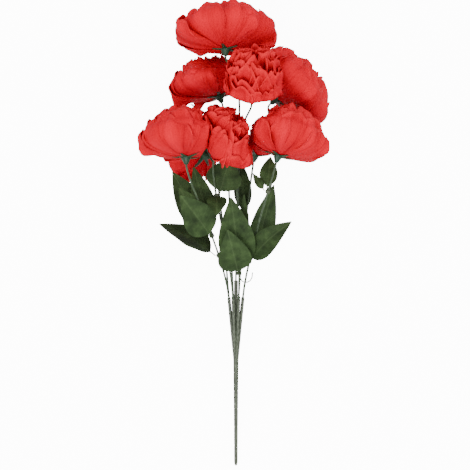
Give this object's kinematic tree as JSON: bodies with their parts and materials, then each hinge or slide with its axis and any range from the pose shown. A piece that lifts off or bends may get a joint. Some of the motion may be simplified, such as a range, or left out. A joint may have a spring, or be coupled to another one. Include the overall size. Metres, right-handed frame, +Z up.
{
  "type": "artificial carnation bunch",
  "caption": "Bunch of red fabric carnation heads with green fabric leaves on coated wires from one moulded stem, lying on its back; a decorative filler for vases",
  "frame": {"origin": "middle of the bunch's footprint, on the surface that it lies on", "axes": "+Z up, +Y from the stem's end to the flowers, +X across, to the right as seen from above with the flowers away from you"},
  "size_m": [0.1916, 0.4694, 0.1325],
  "materials": {
    "stem_plastic": "moulded grey-green polyethylene, satin",
    "wire_plastic": "green plastic coat over steel wire, satin",
    "calyx_plastic": "moulded bluish green polyethylene",
    "petal_fabric": "heat-set red polyester fabric with a soft sheen",
    "leaf_fabric": "printed dark green polyester leaf fabric, matt"
  },
  "bodies": {
    "root": {"main_stem": "stem_plastic", "stem_wire_1": "wire_plastic", "stem_wire_2": "wire_plastic", "stem_wire_3": "wire_plastic", "stem_wire_4": "wire_plastic", "stem_wire_5": "wire_plastic", "stem_wire_6": "wire_plastic", "stem_wire_7": "wire_plastic", "stem_wire_8": "wire_plastic", "stem_wire_9": "wire_plastic", "calyx_1": "calyx_plastic", "calyx_2": "calyx_plastic", "calyx_3": "calyx_plastic", "calyx_4": "calyx_plastic", "calyx_5": "calyx_plastic", "calyx_6": "calyx_plastic", "calyx_7": "calyx_plastic", "calyx_8": "calyx_plastic", "calyx_9": "calyx_plastic", "outer_petals_1": "petal_fabric", "outer_petals_2": "petal_fabric", "outer_petals_3": "petal_fabric", "outer_petals_4": "petal_fabric", "outer_petals_5": "petal_fabric", "outer_petals_6": "petal_fabric", "outer_petals_7": "petal_fabric", "outer_petals_8": "petal_fabric", "outer_petals_9": "petal_fabric", "inner_petals_1": "petal_fabric", "inner_petals_2": "petal_fabric", "inner_petals_3": "petal_fabric", "inner_petals_4": "petal_fabric", "inner_petals_5": "petal_fabric", "inner_petals_6": "petal_fabric", "inner_petals_7": "petal_fabric", "inner_petals_8": "petal_fabric", "inner_petals_9": "petal_fabric", "leaf_1": "leaf_fabric", "leaf_2": "leaf_fabric", "leaf_3": "leaf_fabric", "leaf_4": "leaf_fabric", "leaf_5": "leaf_fabric", "leaf_6": "leaf_fabric", "leaf_7": "leaf_fabric", "leaf_8": "leaf_fabric", "leaf_9": "leaf_fabric", "leaf_10": "leaf_fabric", "leaf_11": "leaf_fabric", "leaf_12": "leaf_fabric", "leaf_13": "leaf_fabric", "leaf_14": "leaf_fabric", "leaf_15": "leaf_fabric", "leaf_collar_1": "wire_plastic", "leaf_collar_2": "wire_plastic", "leaf_collar_3": "wire_plastic", "leaf_collar_4": "wire_plastic", "leaf_collar_5": "wire_plastic", "leaf_collar_6": "wire_plastic", "leaf_collar_7": "wire_plastic", "tendril": "wire_plastic"}
  },
  "joints": []
}
